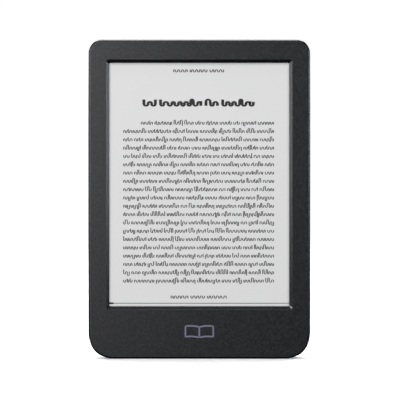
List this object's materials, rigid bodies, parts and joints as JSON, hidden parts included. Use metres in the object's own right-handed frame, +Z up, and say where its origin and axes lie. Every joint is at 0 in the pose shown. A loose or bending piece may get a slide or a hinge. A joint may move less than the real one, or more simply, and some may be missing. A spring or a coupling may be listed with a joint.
{
  "type": "e-reader",
  "caption": "Slim hand-held e-reader with a recessed electronic-paper screen, a round power button on its back and a charging port in its bottom edge.",
  "frame": {"origin": "middle of the flat bottom edge, half way through the thickness", "axes": "+X is right seen from the front, -Y is the way the screen faces, +Y is the way the back faces, +Z is up along the height"},
  "size_m": [0.112, 0.0092, 0.161],
  "materials": {
    "bezel_plastic": "fine-grained matte moulded plastic",
    "cover_plastic": "fine-grained matte moulded plastic",
    "button_plastic": "satin moulded plastic",
    "light_pipe_plastic": "clear moulded rod",
    "touch_film": "etched anti-glare front",
    "guide_acrylic": "clear sheet",
    "paper_film": "paper-like display film",
    "backplane_glass": "thin glass with printed circuits",
    "silicon": "bare die",
    "adhesive_foam": "thin foam tape",
    "button_silicone": "soft ring",
    "flex_film": "amber polyimide film",
    "led_package": "white package",
    "connector_plastic": "ivory moulding",
    "latch_plastic": "dark moulding",
    "frame_metal": "cast light alloy",
    "screw_steel": "plated steel",
    "board_laminate": "green solder mask",
    "chip_resin": "moulded resin",
    "coil_ferrite": "sintered ferrite",
    "thermal_silicone": "soft pad",
    "shield_metal": "tinned sheet",
    "passive_ceramic": "fired ceramic",
    "copper_patch": "copper foil",
    "gold_contact": "gold plating",
    "battery_pouch": "laminated foil pouch",
    "wire_sleeve": "insulated leads",
    "usb_steel": "drawn steel",
    "usb_blade": "moulded tongue",
    "switch_resin": "moulded resin",
    "switch_steel": "spring steel"
  },
  "bodies": {
    "housing": {"front_bezel": "bezel_plastic", "rear_cover": "cover_plastic", "light_pipe": "light_pipe_plastic", "touch_panel": "touch_film", "light_guide": "guide_acrylic", "epaper_film": "paper_film", "backplane_glass": "backplane_glass", "display_driver": "silicon", "bezel_gasket": "adhesive_foam", "display_tape": "adhesive_foam", "battery_tape": "adhesive_foam", "cover_pads": "adhesive_foam", "cover_seal": "adhesive_foam", "button_gasket": "button_silicone", "display_flex": "flex_film", "touch_flex": "flex_film", "light_strip": "flex_film", "light_leds": "led_package", "status_led": "led_package", "display_socket": "connector_plastic", "touch_socket": "connector_plastic", "light_socket": "connector_plastic", "battery_socket": "connector_plastic", "battery_plug": "connector_plastic", "socket_latches": "latch_plastic", "mid_frame": "frame_metal", "frame_screws": "screw_steel", "board_screws": "screw_steel", "main_board": "board_laminate", "battery_board": "board_laminate", "processor_chip": "chip_resin", "memory_chip": "chip_resin", "storage_chip": "chip_resin", "power_chip": "chip_resin", "hall_sensor": "chip_resin", "power_coils": "coil_ferrite", "thermal_pad": "thermal_silicone", "shield_fence": "shield_metal", "shield_lid": "shield_metal", "radio_module": "shield_metal", "board_passives": "passive_ceramic", "antenna": "copper_patch", "antenna_contact": "gold_contact", "usb_contacts": "gold_contact", "battery": "battery_pouch", "battery_wires": "wire_sleeve", "usb_shell": "usb_steel", "usb_tongue": "usb_blade", "switch_body": "switch_resin", "switch_dome": "switch_steel", "switch_plate": "switch_steel"},
    "power_button": {"power_button": "button_plastic", "switch_plunger": "switch_resin"}
  },
  "joints": [
    {"name": "power_button_press", "type": "slide", "parent": "housing", "child": "power_button", "axis": [0, -1, 0], "range_m": [0, 0.0004], "stiffness_N_per_m": 400, "springref_m": -0.0035, "deforming": ["switch_dome"]}
  ]
}
